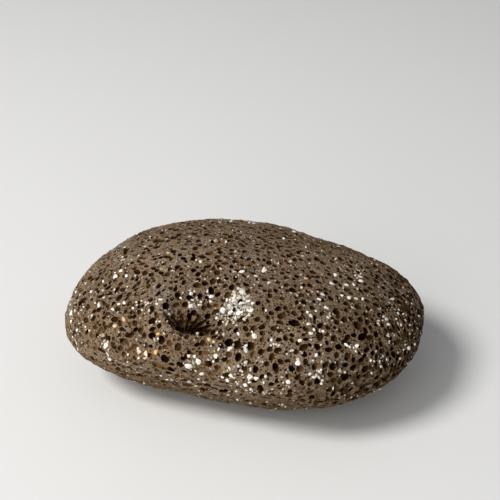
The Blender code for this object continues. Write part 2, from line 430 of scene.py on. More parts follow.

# Bubbles given one by one: pixel, width in pixels, depth in radii. The deepest have the darkest walls.
# The darker walls of the deeper ones are painted shade.
SEEN_BUBBLES = (
    (176.6, 305, 7, 0.97), (179.7, 312.7, 6, 0.97), (218, 294.4, 6, 1.2), (216.3, 305.5, 5.5, 0.9),
    (233.8, 309.6, 5, 1.27), (182.9, 358.9, 5.5, 1.31), (187.8, 378.3, 6.5, 0.97),
    (188.7, 352, 5.5, 1.27), (150.7, 346.4, 5.5, 1.27), (229.3, 361.8, 6, 0.9), (253, 354.2, 7, 0.9),
    (238.2, 374.3, 6, 0.97), (254.3, 381.4, 6.5, 1.27), (260.2, 393, 5, 1.35), (262.3, 339.5, 6, 0.97),
    (192.2, 341.3, 6, 0.79), (310, 345, 5, 1.27), (334.4, 338.8, 5.5, 1.05), (317.8, 365, 6.5, 0.82),
    (305.7, 361.8, 6, 1.12), (287.8, 361.1, 6, 1.12), (278.9, 339.5, 6, 1.2), (330.6, 374.5, 6.5, 1.12),
    (333.8, 380.3, 6, 0.97), (301.9, 382.8, 6, 1.2), (346.5, 378.4, 6.5, 1.27), (367, 349.7, 7, 1.05),
    (372.7, 352.9, 6, 1.35), (352.9, 367.5, 6, 1.27), (354.2, 335, 6, 1.27), (397.5, 296.7, 6, 1.35),
    (388, 307, 6, 1.12), (411, 307.6, 7, 1.2), (346.5, 358, 6, 1.2), (361.8, 359.9, 6, 1.27),
    (382.2, 351, 7, 0.9), (95.2, 348.2, 6.5, 0.97), (89.7, 277.9, 6, 1.2), (196.4, 252.4, 6, 0.97),
    (131.5, 334.8, 7, 1.05), (157, 370.6, 6.5, 1.05), (129.7, 324, 5, 0.9), (141.2, 364, 5, 1.05),
    (132.7, 370.6, 6, 1.2), (199.4, 384.5, 6, 1.12), (106, 294.5, 4, 1.35), (152, 309, 4.5, 1.35),
    (139, 307, 4.5, 1.35), (94, 295, 4, 1.27), (163, 275.5, 4, 1.35), (165, 280.8, 4.5, 1.35),
    (225.5, 275.2, 4, 1.35), (206, 247, 4.5, 1.12), (238, 284, 5, 1.05), (314, 301, 4.5, 1.35),
    (339, 301, 4.5, 1.35), (278, 247.5, 5, 1.2), (301.5, 251, 5, 1.27), (292, 270, 5, 0.97),
    (283, 263, 6, 0.82),
    # low on the front, from the left to the right flank
    (168.8, 373.2, 6, 1.2), (183.8, 372, 6, 1.2), (176.5, 384, 4, 1.27), (216, 389.3, 5.5, 1.35),
    (226, 390.8, 6, 1.35), (204, 392, 4.5, 1.2), (241, 394.7, 5, 1.35), (260, 387, 6, 1.35),
    (244, 380, 4, 1.2), (229, 398, 5, 1.2), (216, 395.5, 4.5, 1.2), (247, 401, 4.5, 1.2),
    (161, 372.3, 3, 1.27), (137, 376.6, 3.5, 1.2), (271.3, 384.2, 6, 1.27), (284.6, 385.8, 5, 1.05),
    (290, 391.3, 5.5, 1.35), (304.2, 388.3, 3.2, 1.35), (309.2, 389.2, 3.4, 1.35), (310, 384, 5, 1.05),
    (317.5, 380, 5, 1.35), (332.5, 366, 7, 1.2), (358.3, 376.7, 5, 1.27), (364.6, 375.4, 4.5, 1.27),
    (333.3, 394.2, 6.5, 1.35), (342, 394.2, 5, 1.05), (350.8, 389.6, 6, 1.35), (356, 391.3, 3, 1.2),
    (361, 387.9, 4.5, 1.35), (347.5, 385.5, 5, 0.97), (312, 397.8, 7, 1.35), (302.5, 400.3, 6, 1.35),
    (309.5, 403, 5, 1.2), (320.5, 402.5, 5, 1.35), (337, 400, 5.5, 1.35), (376.5, 377.5, 6, 1.35),
    (383.3, 379, 5, 1.35), (369.5, 384, 5, 1.2), (390.8, 370.8, 5, 1.27), (385.8, 371, 4, 1.35),
    (395.5, 366, 5, 1.27), (389.6, 375.5, 4, 1.35), (279, 398, 5.5, 1.27), (269, 396, 4, 1.2),
    (290, 400, 5, 1.05), (327, 397.5, 4, 1.2),
)

# The hollow's foot, behind its front lip, cut deeper here and with painted shade round it: pixel, width
# in pixels, how far behind the skin.
CREASE = (
    (164.5, 314.5, 2.6, 0.0010), (166.3, 317.3, 3, 0.0012), (168.3, 320, 3.2, 0.0012),
    (170.5, 322.8, 3.6, 0.0013), (173.3, 325.8, 4.2, 0.0014), (177, 328.8, 5.5, 0.0016),
    (182, 330.5, 7, 0.0017), (187, 331.2, 8, 0.0019), (192, 331.2, 8, 0.0018), (197, 330.8, 7, 0.0016),
    (202, 330.2, 5.5, 0.0010), (206.5, 329.8, 4, 0.0006),
)

# Grooves that fan up from the foot of the hollow: lower pixel, upper pixel, width in pixels.
GROOVES = (
    ((177, 330), (164, 312), 3.2), ((180.5, 330), (173, 316), 3.0), ((183.5, 331), (183, 314), 3.4),
    ((186, 331), (191.5, 313), 4.2), ((188.5, 331), (199.5, 316), 3.6), ((191, 331), (206, 320), 4.4),
    ((194, 331.5), (211, 325.5), 3.4), ((197, 332), (214, 330.5), 2.4),
    ((202.5, 304), (206.5, 298.5), 2.2), ((241.5, 306.5), (246.5, 302), 1.6),
    ((238, 307), (244.5, 312.5), 1.6), ((204, 311), (208, 305), 1.8),
)
# Half lengths of a groove's cutter: down in widths, and along in lengths.
GROOVE_DEPTH = 1.2
GROOVE_LENGTH = 0.6
FOOT_BALL_LEVEL = 2


def bubble_size_factor(normals):
    """Bubbles are larger on the front of the stone than on its top and its left end."""
    front, left = np.clip(-normals[:, 1], 0, 1), np.clip(-normals[:, 0], 0, 1)
    growth = FRONT_GROWTH * front ** 2 - LEFT_SHRINK * left
    return 1 + growth - TOP_SHRINK * np.clip(normals[:, 2], 0, 1)


class Bubbles:
    """The bubbles that have burst through the skin, kept in cells to find near ones fast."""

    def __init__(self):
        self.points = []
        self.normals = []
        self.mouths = []
        self.depths = []
        self.tones_and_shades = []
        self.cells = {}

    def near(self, point):
        """Numbers of the bubbles in the cells round a point."""
        x, y, z = (math.floor(value / CELL) for value in point)
        for dx, dy, dz in NEIGHBOURS:
            yield from self.cells.get((x + dx, y + dy, z + dz), ())

    def fits(self, point, mouth):
        """True if a mouth of that radius keeps its distance from the others."""
        return all(
            math.dist(point, self.points[number]) >= WALL_KEPT * (mouth + self.mouths[number])
            for number in self.near(point)
        )

    def add(self, point, normal, mouth, depth, tone_and_shade=None):
        """Adds a bubble: radius of its mouth, depth in such radii, tone and painted shade of its wall
        if known.
        """
        cell = tuple(math.floor(value / CELL) for value in point)
        self.cells.setdefault(cell, []).append(len(self.points))
        self.points.append(np.array(point))
        self.normals.append(np.array(normal))
        self.mouths.append(mouth)
        self.depths.append(depth)
        self.tones_and_shades.append(tone_and_shade)

    def reach(self, number):
        """Middle and radius of a ball that holds the whole cutter of a bubble."""
        point, normal, mouth = self.points[number], self.normals[number], self.mouths[number]
        return point - normal * mouth * REACH_MIDDLE, mouth * REACH


def grain_seats(surface):
    """The skin under the larger seen grains, on which no scattered bubble is put."""
    seats = Bubbles()
    for x, y, width, *_ in PATCH_CRYSTALS + WHITE_GRAINS + AMBER_GRAINS:
        found = surface.at_pixel((x, y))
        if found is not None and width >= SEAT_FROM_PX:
            point, normal, scale = found
            seats.add(point, normal, SEAT_SHARE * width * scale / 2, 0)
    return seats


def add_scattered(bubbles, seats, surface, rng, sizes, share):
    """Adds bubbles of these mouth widths, largest first, where each finds room."""
    sizes = np.sort(sizes)[::-1]
    points, normals = surface.scatter(rng, len(sizes) * TRIES_EACH, share)
    factors = bubble_size_factor(normals)
    depths = rng.uniform(*DEPTH_RANGE, len(sizes))
    for number, size in enumerate(sizes):
        for tried in range(number * TRIES_EACH, (number + 1) * TRIES_EACH):
            mouth = size / 2 * factors[tried]
            point = points[tried].tolist()
            if point[2] > BARE_HEIGHT and bubbles.fits(point, mouth) and seats.fits(point, mouth):
                bubbles.add(points[tried], normals[tried], mouth, depths[number])
                break


def place_bubbles(surface):
    """All bubbles: the solid's pits, the listed ones, then the scattered ones."""
    rng = np.random.default_rng(BUBBLE_SEED)
    bubbles = Bubbles()
    # The solid's large pits get the darkest painted shade on their walls.
    for point, normal, radius in large_pits():
        bubbles.add(point, normal, radius, DARKEST_SHADE_DEPTH, 0)
    for point, normal, radius in seeded_pits():
        bubbles.add(point, normal, radius, rng.uniform(*DEPTH_RANGE))
    for x, y, width, depth in SEEN_BUBBLES:
        point, normal, scale = surface.at_pixel((x, y))
        # Painted wall shade: the deeper the bubble, the darker its walls.
        tone_and_shade = np.clip((DARKEST_SHADE_DEPTH - depth) / (DARKEST_SHADE_DEPTH - LEAST_SHADE_DEPTH), 0, 1)
        bubbles.add(point, normal, width * scale / 2, depth, tone_and_shade)
    back = np.clip(surface.normals[:, 1], 0, 1)
    under = np.clip(-surface.normals[:, 2], 0, 1)
    share = (1 - (1 - BACK_SHARE) * back) * (1 - (1 - UNDER_SHARE) * under)
    medium = MEDIUM_TYPICAL * np.exp(rng.normal(0, MEDIUM_SPREAD, MEDIUM_COUNT))
    medium = np.clip(medium, MEDIUM_SMALLEST, MEDIUM_LARGEST)
    seats = grain_seats(surface)
    add_scattered(bubbles, seats, surface, rng, medium, share)
    small = rng.uniform(*SMALL_SIZES, SMALL_COUNT)
    add_scattered(bubbles, seats, surface, rng, small, share)
    return bubbles


def group_bubbles(bubbles):
    """Sorts the bubbles into groups in which none touches another."""
    groups = []
    home = []
    reaches = [bubbles.reach(number) for number in range(len(bubbles.points))]
    for number, (middle, radius) in enumerate(reaches):
        barred = {
            home[other]
            for other in bubbles.near(bubbles.points[number])
            if other < number and math.dist(middle, reaches[other][0]) < radius + reaches[other][1]
        }
        pick = next(spot for spot in range(len(groups) + 1) if spot not in barred)
        if pick == len(groups):
            groups.append([])
        groups[pick].append(number)
        home.append(pick)
    return groups


def cutter_template(sides, rings):
    """Rings one under another, closed by a point below (last but one) and one above (last)."""
    turns = np.arange(sides) * math.tau / sides
    ring = np.stack([np.cos(turns), np.sin(turns), np.zeros(sides)], axis=1)
    verts = np.vstack([ring] * rings + [[[0, 0, -1.0], [0, 0, 1.0]]])
    here = np.arange(sides)
    after = (here + 1) % sides
    bottom = np.full(sides, sides * rings)
    faces = [(here, after, bottom + 1)]
    for above in range(0, sides * (rings - 1), sides):
        below = above + sides
        faces.append((above + after, above + here, below + here))
        faces.append((above + after, below + here, below + after))
    last = sides * (rings - 1)
    faces.append((last + after, last + here, bottom))
    return verts, np.hstack(faces).T


def upright_axes(normals, spins):
    """For each normal, a matrix whose Z is the normal, spun round it."""
    side = crosswise(normals)
    first = side * np.cos(spins)[:, None] + np.cross(normals, side) * np.sin(spins)[:, None]
    return np.stack([first, np.cross(normals, first), normals], axis=2)


def bubble_cutter(bubbles, numbers, rng):
    """Points and faces of uneven bowls and, for the narrowest bubbles, cones."""
    templates = {}
    for narrowest, sides in BOWL_SIDES:
        templates[sides] = cutter_template(sides, 2 if narrowest >= BOWL_FROM else 1)
    normals = np.array([bubbles.normals[number] for number in numbers])
    axes = upright_axes(normals, rng.uniform(0, LARGEST_SPIN, len(numbers)))
    verts, faces, start = [], [], 0
    for number, turn in zip(numbers, axes):
        mouth, depth = bubbles.mouths[number], bubbles.depths[number]
        sides = next(count for narrowest, count in BOWL_SIDES if 2 * mouth >= narrowest)
        shape, shape_faces = templates[sides]
        shape = shape.copy()
        jitter = rng.uniform(-RING_JITTER, RING_JITTER, size=(len(shape) - 2, 1))
        shape[:-2, :2] *= RING_FACTOR + jitter
        if 2 * mouth >= BOWL_FROM:
            low_ring = slice(sides, 2 * sides)
            shape[low_ring, :2] *= rng.uniform(*BOWL_FLOOR)
            depth *= 1 + TOP_DEEPENING * max(turn[2, 2], 0)
            shape[low_ring, 2] = rng.uniform(-RING_JITTER, RING_JITTER, sides) - depth * BOWL_SHOULDER
            shape[-2, 2] = -depth
        else:
            shape[-2, 2] = -rng.uniform(*CONE_DEPTHS)
        shape[-2, :2] = rng.uniform(-RING_JITTER, RING_JITTER, 2)
        shape[-1, 2] = LIFT
        stretch = 1 + rng.uniform(0, STRETCH_SPREAD)
        shape[:, :2] *= (stretch, 1 / stretch)
        shape[:, 2] += LIFT
        verts.append((shape * mouth) @ turn.T + bubbles.points[number])
        faces.append(shape_faces + start)
        start += len(shape)
    return np.vstack(verts), np.vstack(faces)


def take_away(stone, verts, faces):
    """Takes a closed shape out of the stone."""
    cutter = mesh_from_arrays("cutter", verts, faces)
    cut = stone.modifiers.new("cut", "BOOLEAN")
    cut.operation = "DIFFERENCE"
    cut.solver = "MANIFOLD"
    cut.object = cutter
    depsgraph = bpy.context.evaluated_depsgraph_get()
    mesh = bpy.data.meshes.new_from_object(stone.evaluated_get(depsgraph))
    stone.modifiers.clear()
    stone.data = mesh
    bpy.data.objects.remove(cutter)


def cut_bubbles(stone, bubbles):
    """Takes every bubble out of the stone, one group at a time."""
    rng = np.random.default_rng(BUBBLE_SEED)
    for numbers in group_bubbles(bubbles):
        take_away(stone, *bubble_cutter(bubbles, numbers, rng))


def cut_hollow_foot(stone, surface):
    """Deepens the foot of the hollow behind its lip and cuts the grooves that fan up from it."""
    ball, faces = ball_template(FOOT_BALL_LEVEL)
    for x, y, width, deeper in CREASE:
        point, _, scale = surface.at_pixel((x, y))
        middle = point + np.array(sight((x, y)).normalized()) * deeper
        take_away(stone, ball * width * scale / 2 + middle, faces)
    for low, high, width in GROOVES:
        low_point, low_normal, scale = surface.at_pixel(low)
        high_point, high_normal, _ = surface.at_pixel(high)
        along = high_point - low_point
        length = np.linalg.norm(along)
        along /= length
        across = np.cross(low_normal + high_normal, along)
        across /= np.linalg.norm(across)
        inward = np.cross(along, across)
        axes = np.stack([
            along * length * GROOVE_LENGTH,
            across * width * scale / 2,
            inward * width * scale * GROOVE_DEPTH,
        ])
        take_away(stone, ball @ axes + (low_point + high_point) / 2, faces)


# ---- grains

# A grain's seed is its point and normal on the skin, its width, its shade, and 1 if it is larger and
# was given one by one.
GRAIN_SEED = 41
GRAIN_BALL_LEVEL = 1
GRAIN_COUNT = 2500
GRAIN_TYPICAL = 0.00056
GRAIN_SPREAD = 0.50
GRAIN_SMALLEST = 0.0003
GRAIN_LARGEST = 0.0019
LOW_GRAINS = 0.008
LOW_SHARE = 0.45
PATCH_SPREAD = 0.30
PATCH_GROWTH = 1.15
PATCH_GAP = 0.50
SEEN_GROWTH = 1.30
# How pale grains are, from 0 to 1.
GRAIN_SHADES = (0.0, 1.0)
PATCH_SHADES = (0.15, 0.85)
CRYSTAL_SHADES = (0.35, 1.0)
SEEN_SHADES = (0.75, 1.0)
GRAIN_JITTER = 0.36
GRAIN_LEAN = 0.22
GRAIN_SINK = 0.45
GRAIN_DEEPEST = 0.0007
# Shares of a grain's width: its least breadth, scattered and seen, and the range of its height.
GRAIN_NARROWEST = (0.35, 0.50)
GRAIN_FLATNESS = (0.20, 0.42)
SEAT_FROM_PX = 3.3
SEAT_SHARE = 0.9
AMBER_SHARE = 0.035
PROBE_HEIGHT = 0.002

# Where white grains crowd together: pixel, reach in pixels, how many, typical width in pixels.
GRAIN_PATCHES = (
    (239, 301, 12, 80, 3.3), (238, 312, 11, 60, 3.1), (227, 317, 9, 30, 2.3), (194, 304, 8, 26, 2.1),
    (211, 299, 5, 8, 2.0), (193, 362, 9, 10, 2.0), (240, 379, 15, 26, 2.1), (251, 357, 16, 18, 1.9),
    (219, 350, 10, 16, 2.0), (319, 376, 7, 9, 2.4), (106, 347, 8, 10, 2.0), (77, 315, 13, 22, 2.0),
    (75, 297, 9, 14, 2.2), (80, 341, 9, 16, 2.2), (357, 347, 5, 4, 2.4), (383, 362, 6, 7, 2.4),
    (372, 362, 5, 4, 2.2), (352, 278, 16, 22, 2.2), (300, 275, 26, 26, 2.0), (122, 263, 8, 10, 2.2),
    (131, 368, 9, 5, 2.0), (320, 320, 12, 8, 2.2), (284, 388, 8, 6, 2.2), (143, 302, 10, 6, 2.2),
    (240, 271, 8, 6, 2.2), (327, 328, 8, 5, 2.4), (335, 376, 12, 6, 2.2), (225, 262, 30, 16, 2.0),
    (95, 297, 12, 12, 2.2), (395, 325, 24, 26, 2.3), (388, 300, 22, 16, 2.2), (400, 345, 16, 12, 2.2),
    (340, 290, 45, 56, 2.1), (350, 330, 24, 10, 2.2),
)

# Crystals of the pale patch behind the hollow: pixel, width in pixels.
PATCH_CRYSTALS = (
    (238.5, 288.5, 3), (234, 292, 4.5), (243, 292, 4.8), (229, 294.5, 3), (248, 296.5, 4),
    (239, 297.5, 4), (234, 300.5, 5.5), (227, 300, 3.5), (246.5, 302, 4.5), (253, 303.5, 3.5),
    (229, 306, 4), (224, 304.5, 3), (223, 310.5, 5.5), (229, 313, 3.5), (238.5, 313, 5),
    (244.5, 307.5, 3.5), (251, 310.5, 5), (248.5, 315.5, 4), (242, 318, 5.5), (235.5, 318.5, 4),
    (233.5, 323, 3.5), (226.5, 324, 4.2), (221, 320.5, 3), (217.5, 314, 3),
)

# White grains that stand out: pixel, width in pixels.
WHITE_GRAINS = (
    # in and round the hollow
    (192.5, 300, 5), (190.3, 306, 4.5), (196, 311, 3.8), (199.3, 305, 3), (211.6, 296.6, 4.8),
    (210.8, 301.5, 3.2), (160.5, 299.8, 4.2), (165.7, 310.3, 3.6), (190, 290.5, 2.8),
    (194.5, 291.3, 2.4), (218.2, 278.4, 3.2), (256, 276, 3.4), (269, 283, 3.4), (264, 270.5, 6),
    (241.7, 271.7, 4.6), (224, 334, 3.4), (238.3, 334, 3.4), (216.4, 333, 3.2), (254.6, 336, 4.6),
    (252.4, 343, 3), (156.6, 321.5, 2.6), (181, 298, 2.6),
    # left
    (76, 292, 3.4), (79.5, 294.5, 3), (71.3, 313, 5), (70.5, 321, 2.8), (77, 330, 4.6), (71, 331.5, 3),
    (76.5, 343.5, 3), (78, 349, 3.4), (98.8, 305, 4.8), (113, 309.3, 4.2), (118.8, 304, 3.4),
    (132.8, 308, 3.2), (146.4, 304.4, 3.8), (91.5, 291.4, 3.2), (85.2, 326.7, 2.6), (103, 281, 3),
    (101.6, 344, 3.6), (106.2, 345.3, 5.6), (108.3, 350, 3.2), (107.6, 355, 3.4), (109, 359.5, 5),
    (137, 346.7, 2.8), (144, 345, 2.8), (128.2, 354.4, 2.4), (128.6, 366, 4.8), (139, 358, 3.6),
    (121, 271, 3.4), (122, 260, 3),
    # front
    (188.8, 356.5, 4.2), (188.6, 365.5, 6.6), (198.2, 361.6, 6), (195.5, 371, 2.6), (167.1, 379.6, 4.6),
    (160.8, 375.7, 2.8), (202, 373.6, 5.6), (199, 378.6, 3.8), (218.8, 349, 3), (230.2, 348.6, 4.8),
    (233.4, 344.5, 2.8), (245.8, 350, 5), (246, 345.5, 3), (215.8, 356, 3.8), (213.4, 361.5, 2.4),
    (229.6, 368.5, 4), (231.4, 376, 5.2), (227.3, 380.7, 4.4), (222.4, 377, 2.6), (248.8, 376.6, 6),
    (256.2, 378, 4.6), (245, 385, 4.2), (249.5, 382.5, 3.4), (251.2, 389.5, 2.8), (237.4, 383.8, 2.6),
    (271.6, 340, 3.2), (278.8, 345.3, 2.8), (296.8, 350.2, 2.8), (302.2, 353.2, 2.8), (298, 363, 5),
    (299.8, 341, 3.2), (265.6, 376.6, 3.2), (288, 382, 4), (272, 390.5, 3), (285.5, 395, 3.4),
    (316, 355.3, 3.8), (321.5, 361.8, 2.4), (310, 373.8, 3.4), (313.6, 377.4, 3), (316.6, 375, 3.2),
    (319.4, 371.6, 2.6), (321, 369.6, 2.4), (322.5, 380.5, 2.8), (321.4, 384, 3.6), (326.6, 389, 3.2),
    (333, 388.8, 2.6), (311, 333.5, 4.6), (314, 329.5, 3),
    # right
    (356, 346.2, 4.6), (355.5, 351, 3), (349.4, 346.8, 2.6), (380, 361.5, 3.2), (384, 363.5, 3.4),
    (380.5, 366.5, 3), (386.5, 359.5, 2.8), (371, 360.5, 3.4), (371.5, 372.8, 2.6), (400, 358.5, 3),
    (408, 348, 3.6), (379.6, 306, 3), (388.4, 324.7, 4), (392.3, 324, 3), (400.7, 325.4, 3.2),
    (404, 313.7, 3), (409, 315.6, 3), (396, 319, 3), (419, 316, 3), (328, 317.6, 4.4),
    (308.8, 323.8, 4.2), (310.4, 315.6, 4.4), (307.5, 312.5, 3.2), (326, 307, 5.2),
    # top right
    (302.6, 255.8, 3.8), (290, 263, 3), (335, 274.7, 4.4), (355.3, 275.3, 3), (360, 276.8, 3.8),
    (361, 281.3, 4.6), (331.8, 284, 4.8), (346, 285, 4), (354, 285, 3.2), (301.6, 287.3, 3.8),
    (322.4, 294.6, 4.2), (348.8, 297.8, 3.8), (356, 299, 3.6), (367, 300, 3.4), (341.6, 295.5, 3.4),
    (201, 262, 3.4), (227, 258, 3), (197, 230, 3),
)

# Cream and amber grains that stand out: pixel, width in pixels, 0 for cream to 1 for amber.
AMBER_GRAINS = (
    (155.6, 352, 5, 0.9), (123.7, 319, 4.8, 0.75), (115, 326, 4.6, 0.25), (139, 351.2, 4.6, 0.35),
    (146, 353.5, 6, 0.0), (145.5, 358, 4, 0.0), (158, 333.7, 3.5, 0.8), (168, 253, 4.5, 0.5),
    (209.2, 339.4, 4.4, 0.5), (213.4, 341.8, 3.8, 0.3), (306, 279, 3.5, 0.9), (241, 230, 2.5, 0.9),
    (72.9, 299.5, 2.6, 0.7), (273.7, 344.2, 2.6, 0.3), (278.8, 380.5, 2.8, 0.2), (298, 359.5, 3, 0.3),
    (243, 291, 3, 0.1),
)


def dropped(tree, points, normals):
    """Where probes from over the skin meet the cut stone: numbers, points, normals."""
    found = []
    for number, (point, normal) in enumerate(zip(points, normals)):
        start = Vector(point + normal * PROBE_HEIGHT)
        end, face, _, distance = tree.ray_cast(start, Vector(-normal))
        if end is not None and distance < PROBE_HEIGHT + GRAIN_DEEPEST:
            found.append((number, end[:], face[:]))
    return [np.array(values) for values in zip(*found)]


def shaded(rng, rows, shades):
    """The rows with a random paleness at the end of each."""
    return [(*row, rng.uniform(*shades)) for row in rows]


def patch_rows(rng):
    """Pixel, width in pixels and paleness of the grains of the patches, clear of the seen ones."""
    seen = np.array(PATCH_CRYSTALS + WHITE_GRAINS)
    taken = seen
    for x, y, reach, count, width in GRAIN_PATCHES:
        away, turn = reach * np.sqrt(rng.uniform(size=count)), rng.uniform(0, math.tau, count)
        spots = np.stack([x + away * np.cos(turn), y + away * np.sin(turn)], axis=1)
        widths = PATCH_GROWTH * width * np.exp(rng.normal(0, PATCH_SPREAD, count))
        for spot, wide in zip(spots, widths):
            apart = np.linalg.norm(taken[:, :2] - spot, axis=1)
            if np.all(apart > PATCH_GAP * (taken[:, 2] + wide) / 2):
                taken = np.vstack([taken, [*spot, wide]])
    return shaded(rng, taken[len(seen):], PATCH_SHADES)


def seen_seeds(surface, rows, growth=1, seen=0):
    """Seeds of grains whose pixel, width in pixels and shade are known; seen is 1 or 0."""
    for x, y, width, shade in rows:
        found = surface.at_pixel((x, y))
        if found is not None:
            point, normal, scale = found
            yield point, normal, growth * width * scale, shade, seen


def make_grains(name, tree, rng, seeds):
    """One mesh of small worn crystals set into the cut stone, one for each seed that meets it."""
    points, normals, sizes, shades, seen = zip(*seeds)
    kept, ends, faces_up = dropped(tree, points, normals)
    sizes, shades, seen = (np.array(values)[kept] for values in (sizes, shades, seen))
    ball, ball_faces = ball_template(GRAIN_BALL_LEVEL)
    count = len(kept)
    shapes = ball[None] * (1 + rng.uniform(-GRAIN_JITTER, GRAIN_JITTER, size=(count, len(ball), 3)))
    second = rng.uniform(np.array(GRAIN_NARROWEST)[seen], 1)
    squash = np.stack([np.ones(count), second, rng.uniform(*GRAIN_FLATNESS, count)], axis=1)
    shapes *= squash[:, None] * sizes[:, None, None] / 2
    leaning = unit(faces_up + rng.normal(0, GRAIN_LEAN, size=(count, 3)))
    axes = upright_axes(leaning, rng.uniform(0, math.tau, count))
    height = sizes * squash[:, 2] / 2
    middles = ends + faces_up * (height * (1 - 2 * GRAIN_SINK))[:, None]
    verts = np.einsum("nij,nkj->nki", axes, shapes) + middles[:, None]
    clear = verts[:, :, 2].min(axis=1) > 0
    verts, shades = verts[clear], shades[clear]
    starts = np.arange(len(verts)) * len(ball)
    faces = (ball_faces[None] + starts[:, None, None]).reshape(-1, 3)
    grains = mesh_from_arrays(name, verts.reshape(-1, 3), faces)
    add_values(grains.data, "shade", np.repeat(shades, len(ball)))
    return grains


def scatter_grains(surface, tree):
    """The white grains and the amber grains."""
    rng = np.random.default_rng(GRAIN_SEED)
    share = np.where(surface.middles[:, 2] < LOW_GRAINS, LOW_SHARE, 1)
    points, normals = surface.scatter(rng, GRAIN_COUNT, share)
    sizes = GRAIN_TYPICAL * np.exp(rng.normal(0, GRAIN_SPREAD, GRAIN_COUNT))
    sizes = np.clip(sizes, GRAIN_SMALLEST, GRAIN_LARGEST)
    shades = rng.uniform(*GRAIN_SHADES, GRAIN_COUNT)
    amber = rng.uniform(size=GRAIN_COUNT) < AMBER_SHARE
    whites, ambers = [], []
    for *seed, is_amber in zip(points, normals, sizes, shades, amber):
        (ambers if is_amber else whites).append((*seed, 0))
    whites += seen_seeds(surface, patch_rows(rng))
    whites += seen_seeds(surface, shaded(rng, PATCH_CRYSTALS, CRYSTAL_SHADES), SEEN_GROWTH, 1)
    whites += seen_seeds(surface, shaded(rng, WHITE_GRAINS, SEEN_SHADES), SEEN_GROWTH, 1)
    ambers += seen_seeds(surface, AMBER_GRAINS, SEEN_GROWTH, 1)
    white_grains = make_grains("white_grains", tree, rng, whites)
    return white_grains, make_grains("amber_grains", tree, rng, ambers)


# ---- materials


class Shader:
    """A material's node tree, with short ways to add the nodes used here."""

    def __init__(self, name):
        self.material = bpy.data.materials.new(name)
        self.material.use_nodes = True
        self.tree = self.material.node_tree
        self.surface = self.tree.nodes["Principled BSDF"]
        self.coords = self.node("TexCoord").outputs["Object"]

    def link(self, value, socket):
        """Puts a socket's output, a number or a colour's linear shares into an input."""
        if isinstance(value, bpy.types.NodeSocket):
            self.tree.links.new(value, socket)
        elif isinstance(value, tuple):
            socket.default_value = (*value, 1)
        else:
            socket.default_value = value

    def node(self, kind, **inputs):
        """A new node with those values in its inputs."""
        node = self.tree.nodes.new("ShaderNode" + kind)
        for name, value in inputs.items():
            self.link(value, node.inputs[name])
        return node

    def noise(self, size, detail, roughness):
        """Smooth noise whose blobs are about that size, from 0 to 1."""
        grain = {"Scale": 1 / size, "Detail": detail, "Roughness": roughness}
        return self.node("TexNoise", Vector=self.coords, **grain).outputs["Fac"]

    def value(self, name):
        """A number stored on the mesh."""
        node = self.node("Attribute")
        node.attribute_name = name
        return node.outputs["Fac"]

    def ranged(self, value, low, high, to_low=0.0, to_high=1.0):
        """The value carried smoothly from one range to another and kept inside it."""
        node = self.node("MapRange")
        node.interpolation_type = "SMOOTHSTEP"
        for socket, number in zip(node.inputs, (value, low, high, to_low, to_high)):
            self.link(number, socket)
        return node.outputs["Result"]

    def times(self, first, second, plus=0.0):
        """One value multiplied by another, plus a third."""
        node = self.node("Math")
        node.operation = "MULTIPLY_ADD"
        for socket, value in zip(node.inputs, (first, second, plus)):
            self.link(value, socket)
        return node.outputs["Value"]

    def mix(self, share, under, over):
        """One colour with a share of another over it."""
        node = self.node("Mix")
        node.data_type = "RGBA"
        self.link(share, node.inputs["Factor"])
        colours = [socket for socket in node.inputs if socket.type == "RGBA"]
        self.link(under, colours[0])
        self.link(over, colours[1])
        return next(socket for socket in node.outputs if socket.type == "RGBA")

    def patches(self, colour, layers):
        """The colour with one layer of noisy patches after another over it."""
        for size, detail, roughness, low, high, most, over in layers:
            share = self.ranged(self.noise(size, detail, roughness), low, high, 0.0, most)
            colour = self.mix(share, colour, over)
        return colour

    def finish(self, colour, roughness):
        """The material, with its colour and roughness set."""
        self.link(colour, self.surface.inputs["Base Color"])
        self.surface.inputs["Roughness"].default_value = roughness
        return self.material


# Colours are linear. A layer of patches: size, detail, roughness, the noise at which they start and
# are full, how much they cover then, colour.
SKIN_COLOUR = (0.228, 0.160, 0.101)
SKIN_PATCHES = (
    (0.016, 2, 0.5, 0.35, 0.65, 1.0, (0.318, 0.233, 0.156)),  # pale taupe
    (0.0030, 3, 0.6, 0.30, 0.70, 0.50, (0.165, 0.095, 0.043)),  # brown
    (0.013, 2, 0.5, 0.54, 0.70, 0.50, (0.265, 0.235, 0.200)),  # grey
    (0.0065, 4, 0.65, 0.51, 0.68, 0.60, (0.205, 0.112, 0.045)),  # rusty stains
    (0.0008, 3, 0.7, 0.50, 0.72, 0.60, (0.50, 0.41, 0.305)),  # pale flecks
)
PALE_GROUND = (0.50, 0.47, 0.42)
# Painted shade of tiny pores: dark fine noise, and specks that the bump sinks too.
PORE_SHADE = (0.047, 0.023, 0.008)
SPECK_SHADE = (0.025, 0.010, 0.003)
# Painted shade over the right flank, which turns away from the key light, broken into patches.
FLANK_PAINTED_SHADE = (0.050, 0.026, 0.008)
# Darker and more olive towards the bottom: partly the stone's own tone, partly painted shade on its
# lower sides.
LOW_TONE_AND_SHADE = (0.128, 0.087, 0.034)
# Pit walls: brown tones of their own, darkening to painted shade where the tone-and-shade value is low.
PAINTED_WALL_SHADE = (0.016, 0.006, 0.0015)
BROWN_WALL = (0.114, 0.054, 0.018)
PALE_WALL = (0.265, 0.150, 0.064)
# Painted shade in the pits of the right flank.
FLANK_PIT_SHADE = (0.012, 0.004, 0.001)
# Painted shade at the bottoms of deep pits.
DEEP_PIT_SHADE = (0.014, 0.0045, 0.001)
# Painted shade in the foot of the hollow.
FOOT_PAINTED_SHADE = (0.013, 0.005, 0.0015)
